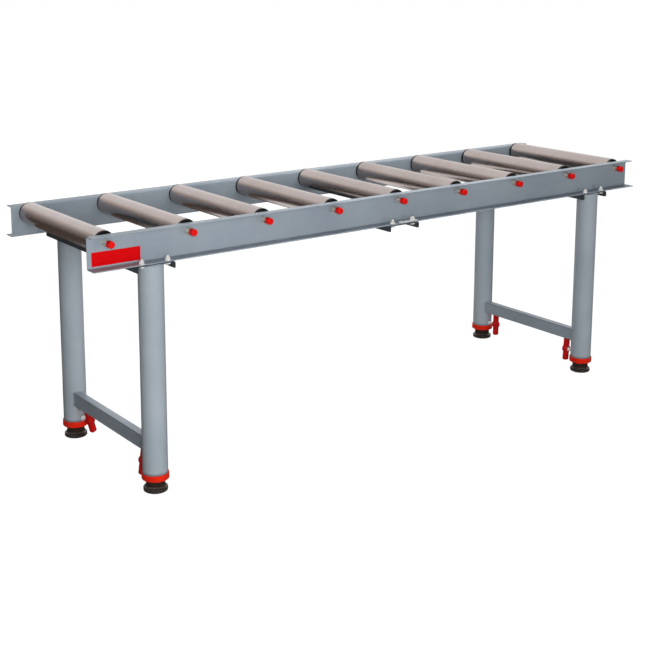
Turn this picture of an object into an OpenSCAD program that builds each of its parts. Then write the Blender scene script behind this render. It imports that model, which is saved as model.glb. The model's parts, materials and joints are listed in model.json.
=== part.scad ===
// Roller table: nine steel rollers between two bent side rails, on four round legs with
// height-adjustable feet. X runs along the rails, Y across them and Z up. The origin is on
// the floor under the middle of the table. The near side is -Y and the left end is -X.

/* [Rails] */
// Length of the two side rails
rail_l = 2000; // [1400:10:2400]
// Clear width between the two rails
rail_gap = 455; // [300:5:700]
// Height of the rails' underside above the floor, with the feet drawn in
rail_base_z = 615.5; // [500:0.5:900]
// Height of a rail over both flanges
rail_h = 86; // [80:1:140]
// Thickness of the rails' bent sheet
rail_t = 2.5; // [2:0.5:4]
// Width of the top flange, outward from the web
top_flange_w = 27; // [15:1:45]
// Width of the bottom flange, outward from the web
bottom_flange_w = 36.5; // [34:0.5:60]
// Inner radius of the rails' bends
rail_bend_r = 2.5; // [1:0.5:5]

/* [Rollers] */
// Number of rollers
roller_n = 9; // [6:1:9]
// Distance from the rails' left end to the first roller's axis
roller_margin_left = 51; // [36:1:100]
// Distance from the last roller's axis to the rails' right end
roller_margin_right = 61; // [36:1:100]
// Outer diameter of a roller
roller_d = 60; // [50:1:76]
// Wall of a roller's tube
roller_wall = 2; // [1.5:0.5:3]
// Free space between a roller's end face and the rail
roller_end_gap = 2; // [1:0.5:15]
// Depth of a roller's axis below the rails' top
axle_drop = 22; // [18:0.5:30]
// Thickness of an end housing's flange outside the tube
housing_flange_t = 6.5; // [1.5:0.5:8]
// Step between the tube's surface and the rim of the housing's flange
housing_step = 0.75; // [0.25:0.25:2]
// Length of an end housing inside the tube
housing_plug_l = 16; // [14:1:30]
// Thickness of the housing's lip behind the bearing
housing_lip_t = 4; // [2:0.5:6]
// Clear gap round the axle in the housing's lip
housing_lip_gap = 2.5; // [1:0.5:4]

/* [Axles] */
// Diameter of an axle between the rails
axle_d = 15; // [13:0.5:17]
// Diameter of an axle's threaded ends
axle_thread_d = 12; // [8:0.5:12.5]
// Diametral clearance of the threaded ends in the rails' holes
axle_hole_gap = 0.6; // [0.2:0.1:1]
// Outer diameter of a bearing
bearing_d = 32; // [28:1:35]
// Width of a bearing
bearing_w = 9; // [7:1:11]
// Radial running clearance between a bearing and its housing
bearing_fit = 0.05; // [0.02:0.01:0.1]
// Thickness of a retaining ring
circlip_t = 1; // [0.8:0.1:1.2]
// Radial height of a retaining ring above the axle
circlip_h = 2.5; // [1.5:0.5:4]
// Depth of a retaining ring's groove in the axle
circlip_groove = 0.4; // [0.2:0.1:0.8]
// End clearance of the bearings, and of the ends of threads in blind bores
end_gap = 0.3; // [0.2:0.1:1]
// Outer diameter of an axle's washer
axle_washer_d = 20; // [18:0.5:26]
// Thickness of an axle's washer
axle_washer_t = 2; // [1.5:0.5:4]
// Width across the flats of an axle's nut
axle_nut_af = 18; // [17:0.5:22]
// Height of an axle's nut
axle_nut_h = 10; // [6:0.5:12]
// Bare thread between an axle's nut and its cap
axle_bare_l = 8.5; // [2:0.5:20]
// Diameter of a protective cap
cap_d = 19; // [16.5:0.5:24]
// Length of a protective cap
cap_l = 16; // [12:0.5:24]
// Thickness of a cap's closed end
cap_end_t = 3; // [2:0.5:5]
// Radius of a cap's rounded rim
cap_round_r = 2.5; // [1:0.5:3]

/* [Crossbars] */
// Height of a crossbar's side walls
crossbar_h = 19; // [15:0.5:40]
// Thickness of the crossbars' bent sheet
crossbar_t = 2.5; // [2:0.5:4]
// Inner radius of the crossbars' bends
crossbar_bend_r = 2.5; // [1:0.5:4]
// Distance from a bolt to the crossbar's side
crossbar_edge = 16.5; // [15:0.5:25]
// How far a crossbar reaches past the legs' outer walls and the rails' lower flanges
crossbar_lip = 0.5; // [0:0.5:6]
// Radius of the lower corners at a crossbar's ends
crossbar_corner_r = 5; // [2:0.5:8]

/* [Legs] */
// Distance from the rails' left end to the left legs' axes
leg_inset_left = 173; // [120:1:300]
// Distance from the right legs' axes to the rails' right end
leg_inset_right = 192; // [120:1:300]
// Wall of a leg
leg_wall = 3; // [2:0.5:4]
// Wall of the sleeves and bushes that fill a leg round its inner tube
guide_wall = 4.7; // [3:0.1:8]
// Distance from the rail's outer face out to the leg's axis
leg_offset = 6; // [0:0.5:8]
// Width of a lower brace
brace_w = 25; // [15:1:30]
// Height of a lower brace
brace_h = 40; // [25:1:60]
// Wall of a lower brace
brace_wall = 2; // [1.5:0.5:3]
// How far a brace's left side lies from the legs' axes
brace_side_x = 17; // [10:0.5:20]
// Free height between the brace and the tip of an upright clamp handle
brace_handle_gap = 1.5; // [1:0.5:60]

/* [Feet] */
// Diameter of a foot's base
foot_d = 65; // [60:1:80]
// Height of a foot's base
foot_base_h = 11.5; // [8:0.5:14]
// Rounding of the foot base's edges
foot_round_r = 3; // [1:0.5:3.5]
// Height of a foot below its tube
foot_h = 16; // [14.5:0.5:24]
// Length of a foot's plug inside its tube
foot_plug_l = 30; // [15:1:60]
// Height that a foot can still rise before it meets its collar
foot_lift = 17.5; // [8:0.5:40]
// Outer diameter of an inner tube
inner_tube_d = 51; // [44:0.5:52]
// Wall of an inner tube
inner_tube_wall = 2.5; // [2:0.5:4]
// Free length above an inner tube inside its leg
inner_tube_headroom = 117; // [20:1:200]
// Radial gap between an inner tube and what guides it
slide_gap = 0.3; // [0.2:0.05:0.6]
// Wall of a collar round its leg
collar_wall = 3; // [2.5:0.25:8]
// Height of a collar
collar_h = 17; // [12:0.5:30]
// Thickness of a collar under the leg's end
collar_floor_t = 5; // [3:0.5:8]
// Rounding of a collar's outer edges
collar_round_r = 2; // [0.5:0.25:2.25]
// Length of a guide bush inside a leg
guide_l = 25; // [15:1:50]
// Height of a guide bush above the clamp screw
guide_rise = 70; // [20:1:120]

/* [Clamps] */
// Height of a clamp screw above its collar
clamp_rise = 9.5; // [9.5:0.5:30]
// Diameter of a clamp screw
clamp_screw_d = 10; // [8:0.5:12]
// Radial running clearance of a clamp screw
clamp_fit = 0.05; // [0.02:0.01:0.1]
// Diameter of the threaded boss in a leg's wall
clamp_boss_d = 16; // [15:0.5:18]
// How far a boss stands out of the leg's wall
clamp_boss_out = 0.5; // [0.5:0.25:3]
// Gap between a boss and the inner tube
clamp_boss_gap = 0.5; // [0.4:0.1:1]
// Gap between a tightened screw's tip and the inner tube
clamp_tip_gap = 0.3; // [0.2:0.1:0.5]
// Distance from a leg's wall to its handle
clamp_reach = 20.5; // [14:0.5:40]
// Length of a T-handle's bar
handle_l = 78; // [50:1:90]
// Width of a T-handle's bar
handle_w = 18; // [14:0.5:26]
// Thickness of a T-handle's bar
handle_t = 15; // [10:0.5:18]
// Corner radius of a T-handle's bar
handle_round_r = 4; // [1:0.5:6]
// Diameter of a T-handle's hub
hub_d = 23; // [18:0.5:34]
// Length of a T-handle's hub
hub_l = 20; // [18:0.5:30]
// Closed end of a T-handle's hub
hub_end_t = 4; // [2:0.5:8]
// Directions of the four clamp screws about their legs, in degrees
clamp_angles = [0, 0, 15, 6];
// Turn of the four T-handles from upright, in degrees
clamp_turns = [8, 3, 17, 0];

/* [Frame bolts] */
// Diameter of a frame bolt
bolt_d = 8; // [6:0.5:8]
// Diametral clearance of the frame bolts' holes
bolt_hole_gap = 1; // [0.5:0.1:1.5]
// Width across the flats of the frame bolts' heads and nuts
bolt_af = 13; // [11:0.5:13.5]
// Height of a frame bolt's head
bolt_head_h = 5.3; // [3:0.1:7]
// Length of a frame bolt under its head
bolt_l = 18; // [17:0.5:30]
// Height of a frame bolt's nut
bolt_nut_h = 6.5; // [4:0.5:8]
// Outer diameter of a frame bolt's washer
bolt_washer_d = 16; // [14:0.5:16]
// Thickness of a frame bolt's washer
bolt_washer_t = 1.6; // [1:0.1:2]
// Distance from a frame bolt to the flange's edge
bolt_edge = 8; // [8:0.5:10]
// Free space between a leg's wall and a frame bolt's axis, along the rails
bolt_leg_gap = 4; // [4:0.5:20]

/* [Label and strap] */
// Width of the blank label plate
label_w = 136; // [60:1:160]
// Height of the blank label plate
label_h = 36; // [20:1:36]
// Thickness of the blank label plate
label_t = 0.8; // [0.5:0.1:2]
// Distance from the rail's end to the label plate
label_inset = 12; // [5:1:60]
// Height of the label plate above the rail's underside
label_rise = 7; // [6:0.5:12]
// Length of the coupling strap
strap_l = 65; // [50:1:80]
// Width of the coupling strap
strap_w = 14; // [13:0.5:15]
// Thickness of the coupling strap
strap_t = 3; // [2:0.5:4]
// Distance from the coupling strap's end to its bolt
strap_bolt_end = 15; // [9:0.5:20]
// Distance from the coupling strap's free end to its free hole
strap_free_end = 9; // [8:0.5:12]
// Diameter of the coupling strap's free hole
strap_hole_d = 9; // [6:0.5:10]

/* [Hidden] */
$fn = 64;
// Overrun of every cut past the face it opens
cut = 1;
// Sides of a hexagon
hex_n = 6;

// Sides of the rails: faces of the webs, and heights
web_in = rail_gap / 2;
web_out = web_in + rail_t;
rail_top_z = rail_base_z + rail_h;
axle_z = rail_top_z - axle_drop;
flange_top_z = rail_base_z + rail_t;
flange_edge_y = web_out + bottom_flange_w;

// Rollers along the rails
roller_pitch = (rail_l - roller_margin_left - roller_margin_right) / (roller_n - 1);
roller_xs = [for (k = [0 : roller_n - 1]) -rail_l / 2 + roller_margin_left + k * roller_pitch];
housing_face_y = web_in - roller_end_gap;
tube_end_y = housing_face_y - housing_flange_t;
bearing_out_y = tube_end_y;
bearing_in_y = bearing_out_y - bearing_w;
circlip_out_y = bearing_out_y + circlip_t;
pocket_in_y = bearing_in_y - end_gap;
lip_in_y = pocket_in_y - housing_lip_t;
plug_in_y = min(tube_end_y - housing_plug_l, lip_in_y);

// Axle ends outside the rails
axle_nut_y = web_out + axle_washer_t;
axle_bare_y = axle_nut_y + axle_nut_h;
cap_y = axle_bare_y + axle_bare_l;
axle_end_y = cap_y + cap_l - cap_end_t - end_gap;

// Legs: near left, near right, far left and far right
leg_names = ["near_left", "near_right", "far_left", "far_right"];
leg_sides = [-1, -1, 1, 1];
leg_left_x = -rail_l / 2 + leg_inset_left;
leg_right_x = rail_l / 2 - leg_inset_right;
leg_xs = [leg_left_x, leg_right_x, leg_left_x, leg_right_x];
slide_bore_d = inner_tube_d + 2 * slide_gap;
leg_bore_d = slide_bore_d + 2 * guide_wall;
leg_d = leg_bore_d + 2 * leg_wall;
leg_r = leg_d / 2;
leg_y = web_out + leg_offset;
leg_top_z = rail_base_z - crossbar_t;
collar_z = foot_h + foot_lift;
leg_bottom_z = collar_z + collar_floor_t;
collar_top_z = collar_z + collar_h;
clamp_z = collar_top_z + clamp_rise;
guide_z = clamp_z + guide_rise;
brace_z = clamp_z + handle_l / 2 + brace_handle_gap;
inner_tube_l = leg_top_z - inner_tube_headroom - foot_h;

// Clamp screws, as distances from the leg's axis
clamp_tip_s = inner_tube_d / 2 + clamp_tip_gap;
handle_s = leg_r + clamp_reach;
clamp_end_s = handle_s + hub_l - hub_end_t - end_gap;
clamp_bore_d = clamp_screw_d + 2 * clamp_fit;

// Crossbars and frame bolts
crossbar_xs = [leg_left_x, (leg_left_x + leg_right_x) / 2, leg_right_x];
crossbar_y = max(leg_y + leg_r, flange_edge_y) + crossbar_lip;
bolt_dx = leg_r + bolt_leg_gap;
crossbar_w = 2 * (bolt_dx + crossbar_edge);
bolt_y = flange_edge_y - bolt_edge;
bolt_hole_d = bolt_d + bolt_hole_gap;
strap_bolt_x = crossbar_xs[1] + bolt_dx;

// Round bar along Y between two places
module bar_y(d, y0, y1)
    translate([0, y0, 0])
        rotate([-90, 0, 0])
            cylinder(d = d, h = y1 - y0);

// Ring along Y between two places
module ring_y(d_out, d_in, y0, y1)
    difference() {
        bar_y(d_out, y0, y1);
        bar_y(d_in, y0 - cut, y1 + cut);
    }

// Upright ring between two heights
module ring_z(d_out, d_in, z0, z1)
    translate([0, 0, z0])
        difference() {
            cylinder(d = d_out, h = z1 - z0);
            translate([0, 0, -cut])
                cylinder(d = d_in, h = z1 - z0 + 2 * cut);
        }

// Upright hexagon of a given width across its flats
module hexagon(af, h)
    cylinder(d = af / cos(180 / hex_n), h = h, $fn = hex_n);

// Flat rectangle with round corners, about its centre
module rounded_rect(w, h, r) {
    square([w, h - 2 * r], center = true);
    square([w - 2 * r, h], center = true);
    for (x = [-1, 1], y = [-1, 1])
        translate([x * (w / 2 - r), y * (h / 2 - r)])
            circle(r);
}

// Half outline of a disc with round edges, to be turned about its axis
module disc_outline(r, h, e) {
    square([r - e, h]);
    translate([0, e])
        square([r, h - 2 * e]);
    for (z = [e, h - e])
        translate([r - e, z])
            circle(e);
}

// Quarter of a bent sheet's section, with its corner at the origin
module bend(t, r)
    intersection() {
        square([r + t, r + t]);
        translate([r + t, r + t])
            difference() {
                circle(r + t);
                circle(r);
            }
    }

// What stands on both sides of the table, mirrored across it
module both_sides()
    for (m = [0, 1])
        mirror([0, m, 0])
            children();

// The same piece at every roller
module at_rollers()
    for (x = roller_xs)
        translate([x, 0, axle_z])
            children();

// The same piece at every frame bolt, its origin on the flange or on the strap that lies there
module at_frame_bolts()
    for (x = crossbar_xs, dx = [-bolt_dx, bolt_dx], side = [-1, 1]) {
        on_strap = side < 0 && x + dx == strap_bolt_x;
        translate([x + dx, side * bolt_y, flange_top_z + (on_strap ? strap_t : 0)])
            children();
    }

// The same piece at every leg, its origin on the floor under the leg
module at_legs()
    for (i = [0 : len(leg_names) - 1])
        translate([leg_xs[i], leg_sides[i] * leg_y, 0])
            children();

// Frame of a leg's clamp: its origin is on the leg's axis, and +Y runs out along the screw
module at_clamp(i)
    translate([leg_xs[i], leg_sides[i] * leg_y, clamp_z])
        rotate([0, 0, (leg_sides[i] < 0 ? 0 : 180) + clamp_angles[i]])
            children();

module rail_section() {
    corner = rail_bend_r + rail_t;
    translate([0, corner])
        square([rail_t, rail_h - 2 * corner]);
    translate([corner, 0])
        square([rail_t + bottom_flange_w - corner, rail_t]);
    translate([corner, rail_h - rail_t])
        square([rail_t + top_flange_w - corner, rail_t]);
    bend(rail_t, rail_bend_r);
    translate([0, rail_h])
        mirror([0, 1])
            bend(rail_t, rail_bend_r);
}

module rail()
    difference() {
        translate([-rail_l / 2, web_in, rail_base_z])
            rotate([90, 0, 90])
                linear_extrude(rail_l)
                    rail_section();
        at_rollers()
            bar_y(axle_thread_d + axle_hole_gap, web_in - cut, web_out + cut);
        for (x = crossbar_xs, dx = [-bolt_dx, bolt_dx])
            translate([x + dx, bolt_y, rail_base_z - cut])
                cylinder(d = bolt_hole_d, h = rail_t + 2 * cut);
    }

module rail_near()
    color("#8c969e")
        mirror([0, 1, 0])
            rail();

module rail_far()
    color("#8c969e")
        rail();

module crossbar_section() {
    corner = crossbar_bend_r + crossbar_t;
    for (m = [0, 1])
        mirror([m, 0])
            translate([-crossbar_w / 2, 0]) {
                square([crossbar_t, crossbar_h - corner]);
                translate([0, crossbar_h])
                    mirror([0, 1])
                        bend(crossbar_t, crossbar_bend_r);
                translate([corner, crossbar_h - crossbar_t])
                    square([crossbar_w / 2 - corner, crossbar_t]);
            }
}

// Inverted channel across the table, open downward, with round lower corners at its ends
module crossbar(x)
    color("#5c666d")
        difference() {
            translate([x, crossbar_y, rail_base_z - crossbar_h])
                rotate([90, 0, 0])
                    linear_extrude(2 * crossbar_y)
                        crossbar_section();
            both_sides()
                translate([x, crossbar_y - crossbar_corner_r, rail_base_z - crossbar_h + crossbar_corner_r])
                    crossbar_corner();
            for (dx = [-bolt_dx, bolt_dx], y = [-bolt_y, bolt_y])
                translate([x + dx, y, rail_base_z - crossbar_t - cut])
                    cylinder(d = bolt_hole_d, h = crossbar_t + 2 * cut);
        }

// What rounds the lower corner of a crossbar's side walls off
module crossbar_corner()
    rotate([90, 0, 90])
        translate([0, 0, -crossbar_w / 2 - cut])
            linear_extrude(crossbar_w + 2 * cut)
                difference() {
                    translate([0, -crossbar_corner_r - cut])
                        square([crossbar_corner_r + cut, crossbar_corner_r + cut]);
                    circle(crossbar_corner_r);
                }

module leg(i)
    color("#8c969e")
        difference() {
            translate([leg_xs[i], leg_sides[i] * leg_y, 0])
                ring_z(leg_d, leg_bore_d, leg_bottom_z, leg_top_z);
            at_clamp(i)
                bar_y(clamp_boss_d, 0, leg_r + cut);
        }

// Rectangular tube between two legs, its ends cut to fit round them
module brace(x)
    color("#69737a")
        translate([x - brace_side_x, 0, brace_z])
            difference() {
                translate([0, -leg_y, 0])
                    cube([brace_w, 2 * leg_y, brace_h]);
                translate([brace_wall, -leg_y - cut, brace_wall])
                    cube([brace_w - 2 * brace_wall, 2 * (leg_y + cut), brace_h - 2 * brace_wall]);
                for (y = [-leg_y, leg_y])
                    translate([brace_side_x, y, -cut])
                        cylinder(d = leg_d, h = brace_h + 2 * cut);
            }

// Hexagon bolts, heads under the crossbars and threads upward
module frame_bolts()
    color("#d0d2d0")
        for (x = crossbar_xs, dx = [-bolt_dx, bolt_dx], y = [-bolt_y, bolt_y])
            translate([x + dx, y, rail_base_z - crossbar_t]) {
                translate([0, 0, -bolt_head_h])
                    hexagon(bolt_af, bolt_head_h);
                cylinder(d = bolt_d, h = bolt_l);
            }

module frame_washers()
    color("#d0d2d0")
        at_frame_bolts()
            ring_z(bolt_washer_d, bolt_d, 0, bolt_washer_t);

module frame_nuts()
    color("#d0d2d0")
        at_frame_bolts()
            translate([0, 0, bolt_washer_t])
                difference() {
                    hexagon(bolt_af, bolt_nut_h);
                    translate([0, 0, -cut])
                        cylinder(d = bolt_d, h = bolt_nut_h + 2 * cut);
                }

// Fixed axles: their shoulders meet the webs, and their threaded ends pass through them
module axles()
    color("#b5b3ae")
        at_rollers()
            difference() {
                union() {
                    bar_y(axle_d, -web_in, web_in);
                    both_sides()
                        bar_y(axle_thread_d, 0, axle_end_y);
                }
                both_sides()
                    ring_y(axle_d + cut, axle_d - 2 * circlip_groove, bearing_out_y, circlip_out_y);
            }

module axle_washers()
    color("#d0d2d0")
        at_rollers()
            both_sides()
                ring_y(axle_washer_d, axle_thread_d, web_out, axle_nut_y);

module axle_nuts()
    color("#d0d2d0")
        at_rollers()
            both_sides()
                translate([0, axle_nut_y, 0])
                    rotate([-90, 0, 0])
                        difference() {
                            hexagon(axle_nut_af, axle_nut_h);
                            translate([0, 0, -cut])
                                cylinder(d = axle_thread_d, h = axle_nut_h + 2 * cut);
                        }

module cap_outline()
    difference() {
        union() {
            square([cap_d / 2 - cap_round_r, cap_l]);
            square([cap_d / 2, cap_l - cap_round_r]);
            translate([cap_d / 2 - cap_round_r, cap_l - cap_round_r])
                circle(cap_round_r);
        }
        translate([-cut, -cut])
            square([axle_thread_d / 2 + cut, cap_l - cap_end_t + cut]);
    }

// Push-on caps over the axles' threaded ends
module axle_caps()
    color("#d8180f")
        at_rollers()
            both_sides()
                translate([0, cap_y, 0])
                    rotate([-90, 0, 0])
                        rotate_extrude()
                            cap_outline();

module bearings()
    color("#9a9a98")
        at_rollers()
            both_sides()
                ring_y(bearing_d, axle_d, bearing_in_y, bearing_out_y);

module circlips()
    color("#5a5a58")
        at_rollers()
            both_sides()
                ring_y(axle_d + 2 * circlip_h, axle_d - 2 * circlip_groove, bearing_out_y, circlip_out_y);

module roller_tube(k)
    color("#b8aeac")
        translate([roller_xs[k - 1], 0, axle_z])
            ring_y(roller_d, roller_d - 2 * roller_wall, -tube_end_y, tube_end_y);

// Pressed-in bearing housings at both ends of a roller
module roller_ends(k)
    color("#26211f")
        translate([roller_xs[k - 1], 0, axle_z])
            both_sides()
                difference() {
                    union() {
                        bar_y(roller_d - 2 * roller_wall, plug_in_y, tube_end_y);
                        bar_y(roller_d - 2 * housing_step, tube_end_y, housing_face_y);
                    }
                    bar_y(axle_d + 2 * housing_lip_gap, plug_in_y - cut, housing_face_y);
                    bar_y(bearing_d + 2 * bearing_fit, pocket_in_y, housing_face_y + cut);
                }

// Collars round the legs' lower ends: an outer ring, a floor, and a sleeve inside the leg
module collars()
    color("#dc2a14")
        at_legs()
            difference() {
                translate([0, 0, collar_z])
                    rotate_extrude()
                        disc_outline(leg_r + collar_wall, collar_h, collar_round_r);
                ring_z(leg_d, leg_bore_d, leg_bottom_z, collar_top_z + cut);
                translate([0, 0, collar_z - cut])
                    cylinder(d = slide_bore_d, h = collar_h + 2 * cut);
            }

// Guide bushes for the inner tubes, higher up inside the legs
module leg_guides()
    color("#2b2b2b")
        at_legs()
            ring_z(leg_bore_d, slide_bore_d, guide_z, guide_z + guide_l);

// Threaded bosses in the legs' walls, which the clamp screws run in
module clamp_bosses()
    color("#d0d2d0")
        for (i = [0 : len(leg_names) - 1])
            at_clamp(i)
                ring_y(clamp_boss_d, clamp_bore_d, inner_tube_d / 2 + clamp_boss_gap, leg_r + clamp_boss_out);

module coupling_strap()
    color("#d0d2d0")
        translate([strap_bolt_x, -bolt_y, flange_top_z])
            difference() {
                translate([strap_bolt_end - strap_l, -strap_w / 2, 0])
                    cube([strap_l, strap_w, strap_t]);
                translate([0, 0, -cut])
                    cylinder(d = bolt_hole_d, h = strap_t + 2 * cut);
                translate([strap_bolt_end - strap_l + strap_free_end, 0, -cut])
                    cylinder(d = strap_hole_d, h = strap_t + 2 * cut);
            }

module label_plate()
    color("#d8180f")
        translate([-rail_l / 2 + label_inset, -web_out - label_t, rail_base_z + label_rise])
            cube([label_w, label_t, label_h]);

module inner_tube(i)
    color("#2d231e")
        translate([leg_xs[i], leg_sides[i] * leg_y, 0])
            ring_z(inner_tube_d, inner_tube_d - 2 * inner_tube_wall, foot_h, foot_h + inner_tube_l);

// Foot: a round-edged base, a flare up to the tube, and a plug inside it
module foot(i)
    color("#211a17")
        translate([leg_xs[i], leg_sides[i] * leg_y, 0])
            rotate_extrude() {
                disc_outline(foot_d / 2, foot_base_h, foot_round_r);
                polygon([
                    [0, foot_base_h - foot_round_r],
                    [foot_d / 2 - foot_round_r, foot_base_h - foot_round_r],
                    [foot_d / 2 - foot_round_r, foot_base_h],
                    [inner_tube_d / 2, foot_h],
                    [0, foot_h]
                ]);
                translate([0, foot_base_h])
                    square([inner_tube_d / 2 - inner_tube_wall, foot_h - foot_base_h + foot_plug_l]);
            }

module clamp_screw(i)
    color("#d0d2d0")
        at_clamp(i)
            bar_y(clamp_screw_d, clamp_tip_s, clamp_end_s);

// T-handle: a flat bar across a hub whose blind bore takes the screw's end
module clamp_handle(i)
    color("#c01418")
        at_clamp(i)
            rotate([0, clamp_turns[i], 0])
                difference() {
                    union() {
                        bar_y(hub_d, handle_s, handle_s + hub_l);
                        translate([0, handle_s + (hub_l - handle_t) / 2, 0])
                            rotate([-90, 0, 0])
                                linear_extrude(handle_t)
                                    rounded_rect(handle_w, handle_l, handle_round_r);
                    }
                    bar_y(clamp_bore_d, handle_s - cut, handle_s + hub_l - hub_end_t);
                }

rail_near();
rail_far();
crossbar(crossbar_xs[0]);  // crossbar_left
crossbar(crossbar_xs[1]);  // crossbar_middle
crossbar(crossbar_xs[2]);  // crossbar_right
brace(leg_left_x);  // brace_left
brace(leg_right_x);  // brace_right
frame_bolts();
frame_washers();
frame_nuts();
axles();
axle_washers();
axle_nuts();
axle_caps();
bearings();
circlips();
collars();
leg_guides();
clamp_bosses();
coupling_strap();
label_plate();
for (k = [1 : roller_n]) {
    roller_tube(k);
    roller_ends(k);
}
for (i = [0 : len(leg_names) - 1]) {
    leg(i);
    inner_tube(i);
    foot(i);
    clamp_screw(i);
    clamp_handle(i);
}
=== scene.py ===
import json
import math

import bmesh
import bpy
import numpy as np
from mathutils import Matrix, Vector

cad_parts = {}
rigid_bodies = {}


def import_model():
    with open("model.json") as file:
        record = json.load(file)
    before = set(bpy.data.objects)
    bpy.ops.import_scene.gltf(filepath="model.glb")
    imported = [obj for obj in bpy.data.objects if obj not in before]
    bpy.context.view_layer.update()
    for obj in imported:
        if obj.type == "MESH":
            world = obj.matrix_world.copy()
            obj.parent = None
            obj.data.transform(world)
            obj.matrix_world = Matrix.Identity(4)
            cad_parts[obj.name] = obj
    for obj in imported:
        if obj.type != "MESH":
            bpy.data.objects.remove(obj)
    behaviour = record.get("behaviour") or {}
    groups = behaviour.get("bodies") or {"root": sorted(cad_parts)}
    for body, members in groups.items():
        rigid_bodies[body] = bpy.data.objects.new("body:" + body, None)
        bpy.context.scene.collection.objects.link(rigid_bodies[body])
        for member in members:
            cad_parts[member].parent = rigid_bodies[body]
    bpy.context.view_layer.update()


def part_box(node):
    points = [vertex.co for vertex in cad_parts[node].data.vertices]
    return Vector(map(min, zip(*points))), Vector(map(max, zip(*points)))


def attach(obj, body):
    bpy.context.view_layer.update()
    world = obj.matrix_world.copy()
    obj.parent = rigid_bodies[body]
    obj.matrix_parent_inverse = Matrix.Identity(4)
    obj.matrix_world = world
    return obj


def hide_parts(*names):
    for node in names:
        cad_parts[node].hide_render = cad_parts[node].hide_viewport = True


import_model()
MM = 0.001
QUARTER = math.pi / 2

# Sizes in millimetres, as in the model's source
RAIL_L, WEB_IN, WEB_OUT = 2000.0, 227.5, 230.0
BASE_Z, RAIL_H, SHEET = 615.5, 86.0, 2.5
TOP_FLANGE, BOTTOM_FLANGE, BEND_R = 27.0, 36.5, 2.5
ROLLER_R, TUBE_END = 30.0, 219.0
BAR_HALF, BAR_H, BAR_END, BAR_CORNER = 54.0, 19.0, 270.0, 5.0
LEG_Y, LEG_R, LEG_BORE = 236.0, 33.5, 30.5
LEG_BOTTOM, LEG_TOP = 38.5, 613.0
LEG_X = {"left": -827.0, "right": 808.0}
SIDE = {"near": -1, "far": 1}
BOLT_DX, BOLT_Y = 37.5, 258.5
BRACE_X0, BRACE_X1, BRACE_Z0, BRACE_Z1, BRACE_R = -17.0, 8.0, 100.5, 140.5, 3.0
CLAMP_Z, BOSS_R, BOSS_S, BOSS_END = 60.0, 8.0, 26.1, 34.0
STUD_S, STUD_L, HUB_S, HUB_R, HUB_L = 25.9, 43.6, 54.0, 11.5, 20.0
BEARING_Y, RING_Y, SEAT_Y, THREAD_Y, CAP_Y, AXLE_END = 210.0, 219.0, 227.5, 241.0, 250.5, 263.2
AXLE_R, BEARING_R, BEARING_W = 7.5, 16.0, 9.0
M8_FLATS, M8_HEAD_H, M8_NUT_H, M8_WASHER_T, STRAP_T = 13.0, 5.3, 6.5, 1.6, 3.0
M12_FLATS, M12_NUT_H, M12_WASHER_T = 18.0, 10.0, 2.0
TUBE_R, TUBE_BORE, TUBE_TOP, FOOT_TOP = 25.5, 23.0, 496.0, 16.0
CLAMP_ANGLE = {"near_left": 0, "near_right": 0, "far_left": 15, "far_right": 6}
CLAMP_TURN = {"near_left": 8, "near_right": 3, "far_left": 17, "far_right": 0}
LEGS = [f"{s}_{e}" for s in ("near", "far") for e in ("left", "right")]


def leg_place(name):
    """A leg's side, -1 near or 1 far, and its axis in X and Y."""
    side, end = name.split("_")
    return SIDE[side], LEG_X[end], SIDE[side] * LEG_Y


def leg_frame(name, z=0.0):
    """Frame on a leg's axis, z above the floor."""
    _, x, y = leg_place(name)
    return Matrix.Translation((x, y, z))


def raised(z):
    """Shifts a turned piece along its own axis."""
    return Matrix.Translation((0, 0, z))


def middle(node):
    """Centre of a node's box, in millimetres."""
    lo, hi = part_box(node)
    return (lo + hi) / 2 / MM


ROLLER_X = [middle(f"roller_tube_{k}").x for k in range(1, 10)]
AXLE_Z = middle("roller_tube_1").z
BAR_X = [middle(f"crossbar_{n}").x for n in ("left", "middle", "right")]


# ---- shapes ----

def clean(mesh, dist):
    """Joins vertices that lie together and turns all faces outward."""
    bm = bmesh.new()
    bm.from_mesh(mesh)
    bmesh.ops.remove_doubles(bm, verts=bm.verts, dist=dist)
    bmesh.ops.recalc_face_normals(bm, faces=bm.faces)
    bm.to_mesh(mesh)
    bm.free()


def placed(name, data):
    """An object of this data, linked to the scene."""
    o = bpy.data.objects.new(name, data)
    bpy.context.scene.collection.objects.link(o)
    return o


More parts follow.
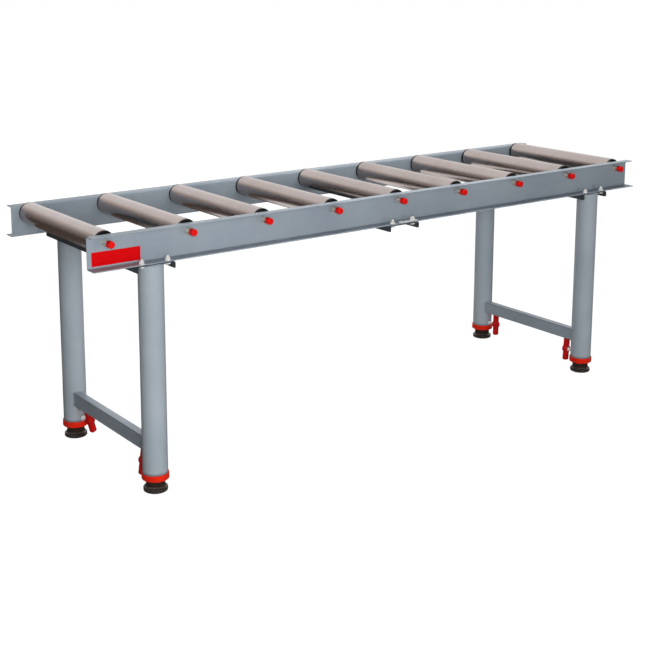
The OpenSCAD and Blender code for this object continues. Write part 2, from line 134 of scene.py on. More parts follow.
class Shape:
    """Vertices in millimetres, faces, each vertex's wear from 0 to 1, which also marks painted shade and painted
    highlights, and each face's material.
    """

    def __init__(self):
        self.verts, self.faces, self.wear, self.mats = [], [], [], []

    def skin(self, rings, wear=0.0, loop=False, mat=0, at=None):
        """Joins rings of equal length. loop joins the last ring to the first, or else both ends are closed."""
        rings = np.asarray(rings, float)
        count, n = rings.shape[:2]
        pts = rings.reshape(-1, 3)
        if at is not None:
            m = np.array(at)
            pts = pts @ m[:3, :3].T + m[:3, 3]
        o = len(self.verts)
        self.verts.extend(pts.tolist())
        self.wear.extend(np.broadcast_to(wear, (count, n)).reshape(-1).tolist())
        for k in range(count if loop else count - 1):
            a, b = o + k * n, o + (k + 1) % count * n
            for i in range(n):
                j = (i + 1) % n
                self.faces.append((a + i, a + j, b + j, b + i))
                self.mats.append(mat)
        if not loop:
            for s in (o, o + (count - 1) * n):
                self.faces.append(tuple(range(s, s + n)))
                self.mats.append(mat)
        return self

    def lathe(self, profile, n, at, mat=0, loop=True):
        """Turns (radius, height, wear) points about +Z. loop closes the outline, as for a ring."""
        p = np.array([tuple(q) + (0.0,) * (3 - len(q)) for q in profile], float)
        a = np.linspace(0, 2 * math.pi, n, endpoint=False)
        rings = np.stack([np.outer(p[:, 0], np.cos(a)), np.outer(p[:, 0], np.sin(a)),
                          np.repeat(p[:, 1:2], n, 1)], -1)
        return self.skin(rings, np.repeat(p[:, 2:3], n, 1), loop, mat, at)

    def piece(self, name, body, nodes, slot, *materials, sharp=32):
        """Makes the mesh and puts it in the scene on its body, in place of its nodes."""
        mesh = bpy.data.meshes.new(name)
        mesh.from_pydata((np.array(self.verts) * MM).tolist(), [], self.faces)
        for m in materials:
            mesh.materials.append(m)
        mesh.polygons.foreach_set("material_index", np.array(self.mats, np.int32))
        # the wear attribute holds edge wear, and also marks painted shade (0.4 in paint) and the rollers' painted rim
        # highlight
        wear = mesh.attributes.new("wear", "FLOAT", "POINT")
        wear.data.foreach_set("value", np.array(self.wear, np.float32))
        clean(mesh, 1e-6)
        mesh.shade_smooth()
        mesh.set_sharp_from_angle(angle=math.radians(sharp))
        o = placed(name, mesh)
        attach(o, body)
        if nodes:
            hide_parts(*nodes)
        return o


def rounded(corners, n=5):
    """Closed outline through (x, y, radius) corners, each rounded by n + 1 points, and each point's wear.

    Small edges wear. A point beside each end of a rounding keeps the flat side's shading flat.
    """
    arcs, edge = [], []
    count = len(corners)
    for i, (x, y, r) in enumerate(corners):
        p = np.array([x, y])
        a = np.array(corners[i - 1][:2]) - p
        b = np.array(corners[(i + 1) % count][:2]) - p
        a, b = a / np.linalg.norm(a), b / np.linalg.norm(b)
        half = math.acos(max(-1.0, min(1.0, a @ b))) / 2
        c = p + (a + b) / np.linalg.norm(a + b) * r / math.sin(half)
        s, e = p + a * r / math.tan(half) - c, p + b * r / math.tan(half) - c
        a0 = math.atan2(s[1], s[0])
        turn = (math.atan2(e[1], e[0]) - a0 + math.pi) % (2 * math.pi) - math.pi
        turns = [a0 + turn * k / n for k in range(n + 1)]
        arcs.append([c + r * np.array([math.cos(t), math.sin(t)]) for t in turns])
        edge.append(1.0 if r < 1.5 else 0.0)
    pts, wear = [], []
    for i, arc in enumerate(arcs):
        before, after = arcs[i - 1][-1], arcs[(i + 1) % count][0]
        first, last = (end + (q - end) * min(0.2, 0.8 / max(np.linalg.norm(q - end), 1e-6))
                       for q, end in ((before, arc[0]), (after, arc[-1])))
        pts += [first, *arc, last]
        wear += [0.0] + [edge[i]] * (n + 1) + [0.0]
    return np.array(pts), np.array(wear)


def inset(corners, d):
    """The corners of an outline that lies d inside another. Outlines run counter-clockwise."""
    out = []
    count = len(corners)
    for i, (x, y, r) in enumerate(corners):
        p = np.array([x, y])
        a = p - np.array(corners[i - 1][:2])
        b = np.array(corners[(i + 1) % count][:2]) - p
        a, b = a / np.linalg.norm(a), b / np.linalg.norm(b)
        na, nb = np.array([-a[1], a[0]]), np.array([-b[1], b[0]])
        q = p + (na + nb) * d / (1 + na @ nb)
        convex = a[0] * b[1] - a[1] * b[0] > 0
        out.append((q[0], q[1], max(r - d, 0.02) if convex else r + d))
    return out


def bar_rings(corners, length, edge=0.5, steps=3, n=5):
    """Rings of a bar along +X with an outline in Y and Z, its end edges rounded, and their wear."""
    rings, wear = [], []
    stations = [(edge * (1 - math.cos(a)), edge * (1 - math.sin(a)))
                for a in np.linspace(0, QUARTER, steps + 1)]
    if length > 20 * edge:
        stations.append((3 * edge, 0.0))
    for t, d in stations + [(length - t, d) for t, d in reversed(stations)]:
        pts, e = rounded(inset(corners, d), n)
        rings.append(np.column_stack([np.full(len(pts), t), pts]))
        wear.append(np.maximum(e, 1.0 if d > 1e-6 else 0.0))
    return rings, wear


def round_profile(corners, n=4):
    """A lathe's outline: rounded corners in radius and height, with the wear on its small edges."""
    pts, e = rounded(corners, n)
    return [(p[0], p[1], w) for p, w in zip(pts, e)]


def bend(r, z, size, start, end, n, wear):
    """Part of a lathe's outline: n points on a circle about (r, z), from one angle to another."""
    return [(r + size * math.cos(a), z + size * math.sin(a), wear) for a in np.linspace(start, end, n)]


# Lays a turned piece's +Z along +Y
SCREW_Y = Matrix(((1, 0, 0, 0), (0, 0, 1, 0), (0, -1, 0, 0), (0, 0, 0, 1)))


def along_y(x, y, z, side):
    """Frame whose +Z runs outward across the table, on the near or far side."""
    return Matrix(((side, 0, 0, x), (0, 0, side, y), (0, 1, 0, z), (0, 0, 0, 1)))


def thread_rings(r, pitch, length, n=32, start=0.0, lead=0.0):
    """Rings of a screw thread along +Z, six to a turn. lead tapers its last part."""
    depth = 0.55 * pitch
    a = np.linspace(0, 2 * math.pi, n, endpoint=False)
    rings = []
    for z in np.arange(0, length + 1e-6, pitch / 6):
        f = ((z + start) / pitch - a / (2 * math.pi)) % 1
        cut = depth * (1 - np.clip(np.abs(f - 0.5) * 2.6 - 0.1, 0, 1))
        top = r - max(0.0, lead - (length - z)) * 0.8
        rr = np.minimum(r - cut, max(top, r - depth * 1.3))
        rings.append(np.column_stack([rr * np.cos(a), rr * np.sin(a), np.full(n, z)]))
    return rings


def hexagon_rings(flats, h, bore, top=True):
    """Rings of a hexagon nut or head along +Z, with chamfered corners, from its bore round to its bore."""
    n = 72
    a = np.linspace(0, 2 * math.pi, n, endpoint=False)
    flat = flats / 2
    # the corners are cut just short of their point, and the faces' round edge lies inside the flats
    rh = np.minimum(flat / np.cos((a % (math.pi / 3)) - math.pi / 6), flat * 1.132)
    r0 = flat * 0.965
    drop = (rh - r0) * math.tan(math.radians(28))
    one = np.ones(n)
    rows = [(bore * one, 0 * one, 0), ((r0 - 0.2) * one, 0 * one, 0), (r0 * one, 0 * one, .6), (rh, drop, 1),
            (rh, h - (drop if top else 0.15 * one), 1), (r0 * one, h * one, .6), ((bore + 0.6) * one, h * one, 0)]
    if bore > 0.1:
        rows += [(bore * one, (h - 0.6) * one, 0)]
    rings = [np.column_stack([r * np.cos(a), r * np.sin(a), z * one]) for r, z, _ in rows]
    return rings, [[w] * n for *_, w in rows]


def bead(path, r, pitch=3.4):
    """A weld bead: rings along a closed path, swelling and sinking as the weld pool did."""
    seg = np.linalg.norm(np.roll(path, -1, 0) - path, axis=1)
    total = seg.sum()
    at = np.concatenate([[0], np.cumsum(seg)])
    pts = np.vstack([path, path[:1]])
    count = max(12, int(total / (pitch / 5)))
    s = np.linspace(0, total, count, endpoint=False)
    c = np.column_stack([np.interp(s, at, pts[:, k]) for k in range(3)])
    tan = np.roll(c, -1, 0) - np.roll(c, 1, 0)
    tan /= np.linalg.norm(tan, axis=1)[:, None]
    centre = c.mean(0)
    a = np.linspace(0, 2 * math.pi, 8, endpoint=False)
    rings = []
    for k in range(count):
        out = c[k] - centre
        out -= tan[k] * (out @ tan[k])
        out /= np.linalg.norm(out)
        up = np.cross(tan[k], out)
        f = (s[k] / pitch) % 1
        rr = r * (1 - 0.22 * f ** 1.6 + 0.05 * math.sin(s[k] * 0.41))
        rings.append(c[k] + rr * (np.outer(np.cos(a), out) + np.outer(np.sin(a), up)))
    return rings


# ---- materials ----

class Nodes:
    """A short way to write a material's nodes."""

    def __init__(self, name):
        self.mat = bpy.data.materials.new(name)
        self.mat.use_nodes = True
        self.tree = self.mat.node_tree
        self.shader = self.tree.nodes["Principled BSDF"]
        self.where = self.add("ShaderNodeTexCoord").outputs["Object"]

    def add(self, kind, **values):
        node = self.tree.nodes.new(kind)
        for k, v in values.items():
            setattr(node, k, v)
        return node

    def put(self, socket, value):
        if isinstance(value, bpy.types.NodeSocket):
            self.tree.links.new(value, socket)
        elif isinstance(value, tuple) and len(value) == 3 and socket.type == "RGBA":
            socket.default_value = (*value, 1)
        else:
            socket.default_value = value

    def stretched(self, x, y, z):
        node = self.add("ShaderNodeVectorMath", operation="MULTIPLY")
        self.put(node.inputs[0], self.where)
        node.inputs[1].default_value = (x, y, z)
        return node.outputs[0]

    def noise(self, scale, detail=3, rough=0.5, vector=None, distortion=0.0):
        node = self.add("ShaderNodeTexNoise")
        self.put(node.inputs["Vector"], vector or self.where)
        for k, v in (("Scale", scale), ("Detail", detail), ("Roughness", rough), ("Distortion", distortion)):
            node.inputs[k].default_value = v
        return node.outputs["Fac"]

    def cells(self, scale):
        node = self.add("ShaderNodeTexVoronoi")
        self.put(node.inputs["Vector"], self.where)
        node.inputs["Scale"].default_value = scale
        return node.outputs["Distance"]

    def attribute(self, name):
        return self.add("ShaderNodeAttribute", attribute_name=name).outputs["Fac"]

    def math(self, op, a, b):
        node = self.add("ShaderNodeMath", operation=op)
        self.put(node.inputs[0], a)
        self.put(node.inputs[1], b)
        return node.outputs[0]

    def span(self, value, low, high, out_low=0.0, out_high=1.0):
        """value from low to high becomes out_low to out_high, and no further."""
        node = self.add("ShaderNodeMapRange")
        self.put(node.inputs["Value"], value)
        for k, v in (("From Min", low), ("From Max", high), ("To Min", out_low), ("To Max", out_high)):
            node.inputs[k].default_value = v
        return node.outputs["Result"]

    def blend(self, fac, a, b):
        node = self.add("ShaderNodeMix", data_type="RGBA")
        self.put(node.inputs[0], fac)
        self.put(node.inputs[6], a)
        self.put(node.inputs[7], b)
        return node.outputs[2]

    def bump(self, height, strength, distance, normal=None):
        node = self.add("ShaderNodeBump")
        node.inputs["Strength"].default_value = strength
        node.inputs["Distance"].default_value = distance
        self.put(node.inputs["Height"], height)
        if normal:
            self.put(node.inputs["Normal"], normal)
        return node.outputs[0]

    def set(self, **values):
        names = {"colour": "Base Color", "rough": "Roughness", "metal": "Metallic", "normal": "Normal",
                 "specular": "Specular IOR Level", "aniso": "Anisotropic", "tangent": "Tangent"}
        for k, v in values.items():
            self.put(self.shader.inputs[names[k]], v)
        return self.mat


def srgb(r, g, b):
    """A colour given as it looks on the screen, 0 to 255."""
    return tuple(((c / 255 + 0.055) / 1.055) ** 2.4 if c > 10 else c / 255 / 12.92 for c in (r, g, b))


def paint(name, base, dark, rough=(0.34, 0.48), bare=srgb(176, 180, 182), specular=0.44):
    """Powder coat: orange peel, faint clouding and dust, thin wear on the edges, and painted shade, a darker line,
    where wear is near 0.4.
    """
    n = Nodes(name)
    cloud = n.noise(5.5, 4, 0.55)
    fine = n.noise(70, 3, 0.6)
    colour = n.blend(n.span(cloud, 0.35, 0.68), base, dark)
    colour = n.blend(n.span(fine, 0.45, 0.80, 0, 0.05), colour, srgb(190, 195, 198))
    specks = n.span(n.cells(520), 0.05, 0.10, 1, 0)
    few = n.span(n.noise(38, 2, 0.5), 0.62, 0.70, 0, 0.30)
    colour = n.blend(n.math("MULTIPLY", specks, few), colour, srgb(84, 91, 96))
    wear = n.attribute("wear")
    # painted shade: where wear is near 0.4 the paint turns darker, as along the braces' upper rolled corners
    painted_shade = n.math("MULTIPLY", n.span(wear, 0.12, 0.34), n.span(wear, 0.46, 0.60, 1, 0))
    colour = n.blend(n.math("MULTIPLY", painted_shade, 0.55), colour, srgb(70, 77, 82))
    chips = n.span(n.noise(160, 3, 0.65), 0.50, 0.62)
    edge = n.math("MULTIPLY", n.span(wear, 0.55, 1.0), chips)
    colour = n.blend(n.math("MULTIPLY", edge, 0.55), colour, bare)
    mixed = n.math("ADD", n.math("MULTIPLY", cloud, 0.5), n.math("MULTIPLY", fine, 0.5))
    peel = n.bump(n.noise(520, 2, 0.5), 0.35, 0.00012)
    return n.set(colour=colour, rough=n.span(mixed, 0.35, 0.68, *rough), specular=specular,
                 normal=n.bump(n.noise(2600, 1, 0.5), 0.10, 0.00003, peel))


def plated(name, base, tint, rough, metal=1.0):
    """Zinc plate or drawn steel: mottled, with fine handling marks. Dull plate is less of a metal mirror."""
    n = Nodes(name)
    mottle = n.noise(210, 4, 0.6)
    colour = n.blend(n.span(mottle, 0.35, 0.65), base, tint)
    colour = n.blend(n.span(n.noise(900, 2, 0.5), 0.55, 0.75, 0, 0.35), colour, srgb(120, 116, 108))
    return n.set(colour=colour, metal=metal, rough=n.span(mottle, 0.3, 0.7, *rough),
                 normal=n.bump(n.noise(1500, 3, 0.7), 0.25, 0.00004))


def roller_steel():
    """Drawn and polished tube, warm in tone, with a faint cloud, thin turned lines, a few rolling marks and a painted
    highlight that makes its rolled edges lighter.
    """
    n = Nodes("roller_steel")
    lines = n.noise(1.0, 3, 0.6, n.stretched(4, 420, 4))
    cloud = n.noise(9, 4, 0.55)
    colour = n.blend(n.span(cloud, 0.35, 0.68), (0.495, 0.430, 0.412), (0.452, 0.390, 0.368))
    colour = n.blend(n.span(lines, 0.52, 0.74, 0, 0.22), colour, (0.405, 0.345, 0.325))
    marks = n.span(n.noise(1.0, 2, 0.4, n.stretched(22, 1500, 22), 0.2), 0.72, 0.76)
    rough = n.math("ADD", n.span(cloud, 0.3, 0.72, 0.19, 0.25), n.math("MULTIPLY", marks, 0.07))
    # painted highlight: the rolled edges, where wear is high, are made lighter
    edge = n.math("MULTIPLY", n.span(n.attribute("wear"), 0.5, 1.0), 0.35)
    colour = n.blend(edge, colour, (0.58, 0.54, 0.52))
    # the lines run round the tube, so its gloss spreads along it
    around = n.add("ShaderNodeTangent", direction_type="RADIAL", axis="Y").outputs[0]
    return n.set(colour=colour, metal=1.0, rough=rough, normal=n.bump(lines, 0.06, 0.00002), aniso=0.75, tangent=around)


def plastic(name, base, deep, rough, dust, grain=900, bump=0.18, specular=0.5):
    """Moulded plastic: near-even colour, a fine moulded grain and a little dust."""
    n = Nodes(name)
    cloud = n.noise(60, 3, 0.55)
    colour = n.blend(n.span(cloud, 0.35, 0.7), base, deep)
    colour = n.blend(n.span(n.noise(420, 3, 0.6), 0.58, 0.80, 0, dust), colour, srgb(214, 205, 200))
    patches = n.span(n.noise(700, 2, 0.6), 0.50, 0.66, 0, 0.22)
    scuff = n.math("MULTIPLY", n.span(n.attribute("wear"), 0.5, 1.0), patches)
    colour = n.blend(scuff, colour, srgb(235, 200, 190))
    return n.set(colour=colour, rough=n.span(n.noise(130, 3, 0.6), 0.3, 0.7, *rough), specular=specular,
                 normal=n.bump(n.noise(grain, 2, 0.5), bump, 0.00005))


GREY = paint("grey_paint", srgb(148, 158, 167), srgb(136, 146, 156))
GREY_LEG = paint("leg_grey_paint", srgb(163, 172, 180), srgb(153, 163, 171), specular=0.18)
GREY_BAR = paint("dark_grey_paint", srgb(66, 74, 79), srgb(56, 63, 68), (0.42, 0.56), srgb(120, 126, 130), 0.22)
ZINC = plated("zinc_plate", (0.95, 0.95, 0.93), (0.86, 0.85, 0.82), (0.22, 0.34), 0.38)
NUT = plated("dull_zinc", (0.80, 0.78, 0.72), (0.60, 0.57, 0.50), (0.20, 0.32), 0.70)
STEEL = plated("bright_steel", (0.66, 0.64, 0.61), (0.56, 0.54, 0.52), (0.18, 0.30))
SPRING = plated("spring_steel", (0.14, 0.14, 0.145), (0.09, 0.09, 0.10), (0.3, 0.42))
ROLLER = roller_steel()
CAP = plastic("red_cap", srgb(220, 18, 12), srgb(206, 12, 9), (0.30, 0.42), 0.03, specular=0.24)
COLLAR = plastic("orange_red_plastic", srgb(228, 40, 14), srgb(216, 30, 11), (0.32, 0.44), 0.03, specular=0.24)
HANDLE = plastic("red_plastic", srgb(208, 18, 16), srgb(192, 11, 12), (0.26, 0.38), 0.03, specular=0.28)
BLACK = plastic("black_plastic", srgb(22, 19, 18), srgb(15, 13, 12), (0.42, 0.56), 0.02, specular=0.22)
FOOT = plastic("black_brown_foot", srgb(46, 36, 31), srgb(34, 26, 22), (0.20, 0.34), 0.06)
TUBE = plastic("black_brown_enamel", srgb(52, 40, 34), srgb(38, 29, 25), (0.16, 0.28), 0.04, grain=300)
PLATE = plastic("red_plate", srgb(204, 3, 8), srgb(200, 2, 6), (0.42, 0.48), 0.0, grain=1800, bump=0.05, specular=0.18)


# ---- rails, crossbars, legs and braces ----

def rail(side):
    """C-shaped bent sheet, its flanges outward."""
    low, high, top = SHEET + BOTTOM_FLANGE, SHEET + TOP_FLANGE, RAIL_H - SHEET
    corners = [(low, 0, .5), (low, SHEET, .5), (SHEET, SHEET, BEND_R), (SHEET, top, BEND_R), (high, top, .5),
               (high, RAIL_H, .5), (0, RAIL_H, BEND_R + SHEET), (0, 0, BEND_R + SHEET)]
    rings, wear = bar_rings(corners, RAIL_L)
    at = Matrix(((1, 0, 0, -RAIL_L / 2), (0, side, 0, side * WEB_IN), (0, 0, 1, BASE_Z), (0, 0, 0, 1)))
    name = "near" if side < 0 else "far"
    Shape().skin(rings, wear, at=at).piece(f"{name}_side_rail", "frame", [f"rail_{name}"], "grey_paint", GREY)


def crossbar(name, x):
    """Inverted channel whose side walls have round lower corners at both ends."""
    rings, wear = [], []
    stations = [0, .08, .2, .35, .5, .8, 1.2, 1.8, 2.5, 3.3, 4.1, BAR_CORNER]
    for s, sign in [(s, -1) for s in stations] + [(s, 1) for s in reversed(stations)]:
        low = BAR_CORNER - math.sqrt(max(0, BAR_CORNER ** 2 - (BAR_CORNER - s) ** 2))
        d = .5 - math.sqrt(.25 - (.5 - s) ** 2) if s < .5 else 0
        w, t, h = BAR_HALF, SHEET, BAR_H
        corners = [(-w, low, .5), (t - w, low, .5), (t - w, h - t, BEND_R), (w - t, h - t, BEND_R),
                   (w - t, low, .5), (w, low, .5), (w, h, BEND_R + t), (-w, h, BEND_R + t)]
        pts, e = rounded(inset(corners, d))
        y = np.full(len(pts), sign * (BAR_END - s))
        rings.append(np.column_stack([x + pts[:, 0], y, BASE_Z - BAR_H + pts[:, 1]]))
        wear.append(np.maximum(e, 1.0 if d > 0 else 0.0))
    bar = Shape().skin(rings, wear)
    bar.piece(f"{name}_crossbar", "frame", [f"crossbar_{name}"], "dark_grey_paint", GREY_BAR)


def leg(name):
    """Round tube, worn at its lower edge."""
    profile = [(LEG_R, LEG_BOTTOM + .7, 1), (LEG_R, 60), (LEG_R, 200), (LEG_R, 400), (LEG_R, LEG_TOP - .6),
               (LEG_R - .6, LEG_TOP, 1), (LEG_BORE, LEG_TOP), (LEG_BORE, 300), (LEG_BORE, LEG_BOTTOM),
               (LEG_R - .6, LEG_BOTTOM, 1)]
    tube = Shape().lathe(profile, 112, leg_frame(name))
    tube.piece(f"{name}_leg", "frame", [f"leg_{name}"], "grey_paint", GREY_LEG)


def brace_outline(n):
    """A brace's section in X and Z."""
    return rounded([(BRACE_X0, BRACE_Z0, BRACE_R), (BRACE_X1, BRACE_Z0, BRACE_R), (BRACE_X1, BRACE_Z1, BRACE_R),
                    (BRACE_X0, BRACE_Z1, BRACE_R)], n)[0]


def brace(end):
    """Rectangular tube with rolled corners, its ends cut to the legs' curve."""
    pts = brace_outline(7)
    # painted shade: a darker line along the lower part of each upper rolled corner, marked with a wear of 0.4
    low = (pts[:, 1] > BRACE_Z1 - 3.2) & (pts[:, 1] < BRACE_Z1 - 0.9)
    reach = LEG_Y - np.sqrt(LEG_R ** 2 - pts[:, 0] ** 2) + 0.8
    rings = [np.column_stack([LEG_X[end] + pts[:, 0], k * reach, pts[:, 1]]) for k in (-1, -.33, .33, 1)]
    tube = Shape().skin(rings, np.where(low, 0.4, 0.0))
    tube.piece(f"{end}_brace", "frame", [f"brace_{end}"], "grey_paint", GREY)


def weld_beads():
    """Painted weld beads where braces, crossbars and clamp bosses meet the legs."""
    s = Shape()
    turn = np.linspace(0, 2 * math.pi, 60, endpoint=False)
    for name in LEGS:
        side, x, y = leg_place(name)
        pts = brace_outline(4)
        dense = np.vstack([np.linspace(p, q, 6, endpoint=False) for p, q in zip(pts, np.roll(pts, -1, 0))])
        depth = LEG_Y - np.sqrt(LEG_R ** 2 - dense[:, 0] ** 2) - .3
        s.skin(bead(np.column_stack([x + dense[:, 0], side * depth, dense[:, 1]]), 2.3), loop=True)
        r = LEG_R + .4
        top = np.column_stack([x + r * np.cos(turn), y + r * np.sin(turn), np.full(60, LEG_TOP - 1.2)])
        s.skin(bead(top, 2.4), loop=True)
        m = np.array(clamp_frame(name))
        u, v = (BOSS_R + 1) * np.cos(turn), (BOSS_R + 1) * np.sin(turn)
        ring = np.column_stack([u, np.sqrt(LEG_R ** 2 - u ** 2), v]) @ m[:3, :3].T + m[:3, 3]
        s.skin(bead(ring, 1.5, pitch=2.6), loop=True)
    s.piece("weld_beads", "frame", [], "grey_paint", GREY, sharp=50)


def clamp_frame(name, turn=False):
    """Frame on a leg's axis, at the clamp's height, whose +Y runs out along the screw. turn adds the handle's."""
    across = 0 if leg_place(name)[0] < 0 else 180
    m = leg_frame(name, CLAMP_Z) @ Matrix.Rotation(math.radians(across + CLAMP_ANGLE[name]), 4, "Z")
    return m @ Matrix.Rotation(math.radians(CLAMP_TURN[name]), 4, "Y") if turn else m


for side in (-1, 1):
    rail(side)
for name, x in zip(("left", "middle", "right"), BAR_X):
    crossbar(name, x)
for name in LEGS:
    leg(name)
for end in ("left", "right"):
    brace(end)
weld_beads()


# ---- fasteners on the frame ----

def frame_bolts():
    bolts, washers, nuts = Shape(), Shape(), Shape()
    washer = round_profile([(4.15, 0, .15), (8, 0, .3), (8, M8_WASHER_T, .5), (4.15, M8_WASHER_T, .15)])
    for i, x in enumerate(BAR_X):
        for j, dx in enumerate((-BOLT_DX, BOLT_DX)):
            for side in (-1, 1):
                seed = i * 4 + j * 2 + (side > 0)
                at = Matrix.Translation((x + dx, side * BOLT_Y, BASE_Z - SHEET)) @ Matrix.Rotation(seed * 1.7, 4, "Z")
                head, wear = hexagon_rings(M8_FLATS, M8_HEAD_H, 0.05, top=False)
                bolts.skin(head, wear, at=at @ raised(-M8_HEAD_H))
                bolts.skin(thread_rings(4.0, 1.25, 18, 28, lead=1.0), at=at)
                # the strap lies under one nut
                up = SHEET * 2 + (STRAP_T if (side, i, j) == (-1, 1, 1) else 0.0)
                washers.lathe(washer, 40, at @ raised(up))
                nut, wear = hexagon_rings(M8_FLATS, M8_NUT_H, 4.1)
                spin = Matrix.Rotation(seed * 0.9, 4, "Z")
                nuts.skin(nut, wear, loop=True, at=at @ raised(up + M8_WASHER_T) @ spin)
    bolts.piece("hex_bolts", "frame", ["frame_bolts"], "zinc", ZINC, sharp=24)
    washers.piece("flat_washers", "frame", ["frame_washers"], "zinc", ZINC)
    nuts.piece("hex_nuts", "frame", ["frame_nuts"], "zinc", ZINC, sharp=24)


def strap():
    """Plated flat strap with round corners, its free hole at one end."""
    lo, hi = (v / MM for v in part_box("coupling_strap"))
    w, d, t = hi.x - lo.x, hi.y - lo.y, hi.z - lo.z
    hole_at, hole_r, middle_at, corner_r = (9.0, d / 2), 4.5, (w / 2, d / 2), 2.2
    outer, _ = rounded([(0, 0, corner_r), (w, 0, corner_r), (w, d, corner_r), (0, d, corner_r)], 6)
    a = np.arctan2(outer[:, 1] - hole_at[1], outer[:, 0] - hole_at[0])
    hole = np.column_stack([hole_at[0] + hole_r * np.cos(a), hole_at[1] + hole_r * np.sin(a)])
    edge, wider = .4, 1.08
    smaller = 1 - edge / (w / 2) * .4

    def ring(p, z, c, k):
        v = p - np.array(c)
        return np.column_stack([lo.x + c[0] + v[:, 0] * k, lo.y + c[1] + v[:, 1] * k, np.full(len(p), lo.z + z)])

    rings = [ring(hole, edge, hole_at, 1), ring(hole, 0, hole_at, wider), ring(outer, 0, middle_at, smaller),
             ring(outer, edge, middle_at, 1), ring(outer, t - edge, middle_at, 1), ring(outer, t, middle_at, smaller),
             ring(hole, t, hole_at, wider), ring(hole, t - edge, hole_at, 1)]
    Shape().skin(rings, loop=True).piece("joining_strap", "frame", ["coupling_strap"], "zinc", ZINC)


def plate():
    """The label's place: a thin sheet with nothing on it."""
    lo, hi = (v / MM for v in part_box("label_plate"))
    w, h = hi.x - lo.x, hi.z - lo.z
    rings, _ = bar_rings([(0, 0, 1.6), (w, 0, 1.6), (w, h, 1.6), (0, h, 1.6)], hi.y - lo.y, .25)
    at = Matrix(((0, 1, 0, lo.x), (1, 0, 0, lo.y), (0, 0, 1, lo.z), (0, 0, 0, 1)))
    sheet = Shape().skin(rings, at=at)
    sheet.piece("blank_plate", "frame", ["label_plate"], "red_plate", PLATE, sharp=10)


def axle_ends():
    """Axles with their threaded ends, retaining rings, washers, nuts and caps."""
    axles, clips, washers, nuts, caps, bearings = (Shape() for _ in range(6))
    groove = [(AXLE_R, RING_Y - .1), (7.1, RING_Y), (7.1, RING_Y + 1), (AXLE_R, RING_Y + 1.1)]
    rod = ([(0.01, 0), (AXLE_R, 0)] + groove
           + [(AXLE_R, SEAT_Y - .5), (7, SEAT_Y, 1), (5.4, SEAT_Y), (5.4, AXLE_END), (0.01, AXLE_END)])
    washer = round_profile([(6.2, 0, .2), (10, 0, .4), (10, M12_WASHER_T, .7), (6.2, M12_WASHER_T, .2)])
    cap = ([(6.1, 0), (9.15, 0, 1), (9.5, .35, 1), (9.5, 1.6), (9.25, 1.9), (9.3, 4)]
           + bend(6.8, 13.5, 2.5, 0, QUARTER, 8, .4)
           + [(2.2, 16), (1.9, 15.7), (1.2, 15.65), (0.01, 15.65), (0.01, 13), (6.1, 12.9)])
    outer_race = round_profile([(13.3, 0, .1), (BEARING_R, 0, .6), (BEARING_R, BEARING_W, .6), (13.3, BEARING_W, .1)])
    inner_race = round_profile([(AXLE_R, 0, .3), (9.7, 0, .1), (9.7, BEARING_W, .1), (AXLE_R, BEARING_W, .3)])
    seal = [(9.7, .5), (13.3, .5), (13.3, 8.6), (12.9, 8.4), (12.2, 8.45), (11.4, 8.7), (10.2, 8.4), (9.7, 8.5)]
    for i, x in enumerate(ROLLER_X):
        for side in (-1, 1):
            at = along_y(x, 0, AXLE_Z, side)
            axles.lathe(rod, 40, at, loop=False)
            axles.skin(thread_rings(6.0, 1.75, 11.5, start=i * .37), at=at @ raised(THREAD_Y))
            washers.lathe(washer, 56, at @ raised(WEB_OUT))
            nut, wear = hexagon_rings(M12_FLATS, M12_NUT_H, 6.1)
            spin = Matrix.Rotation(i * 1.13 + (side > 0) * .6, 4, "Z")
            nuts.skin(nut, wear, loop=True, at=at @ raised(WEB_OUT + M12_WASHER_T) @ spin)
            caps.lathe(cap, 48, at @ raised(CAP_Y))
            ball = at @ raised(BEARING_Y)
            bearings.lathe(outer_race, 56, ball)
            bearings.lathe(inner_race, 48, ball)
            bearings.lathe(seal, 48, ball, mat=1)
            open_ring(clips, at @ raised(RING_Y) @ Matrix.Rotation(i * .8 + side, 4, "Z"))
    axles.piece("axle_rods", "frame", ["axles"], "bright_steel", STEEL)
    clips.piece("retaining_rings", "frame", ["circlips"], "spring_steel", SPRING)
    washers.piece("axle_end_washers", "frame", ["axle_washers"], "zinc", NUT)
    nuts.piece("axle_end_nuts", "frame", ["axle_nuts"], "zinc", NUT, sharp=24)
    caps.piece("protective_caps", "frame", ["axle_caps"], "red_cap", CAP)
    bearings.piece("sealed_bearings", "frame", ["bearings"], "bright_steel", STEEL, BLACK)


def open_ring(s, at):
    """Open retaining ring, wider opposite its gap, with an ear at each end."""
    gap, n = 0.42, 40
    a = np.linspace(gap, 2 * math.pi - gap, n)
    inner = np.full(n, 7.15)
    outer = 9.0 + 0.9 * np.cos((a - math.pi) / 2) ** 2
    outer[:3] += (1.9, 1.7, .8)
    outer[-3:] += (.8, 1.7, 1.9)
    outer = np.minimum(outer, 9.95)
    rows = [np.column_stack([r * np.cos(a), r * np.sin(a), np.full(n, z)])
            for r, z in ((inner, .05), (outer, .05), (outer, .95), (inner, .95))]
    s.skin(np.transpose(np.array(rows), (1, 0, 2)), at=at)


frame_bolts()
strap()
plate()
axle_ends()


# ---- rollers ----

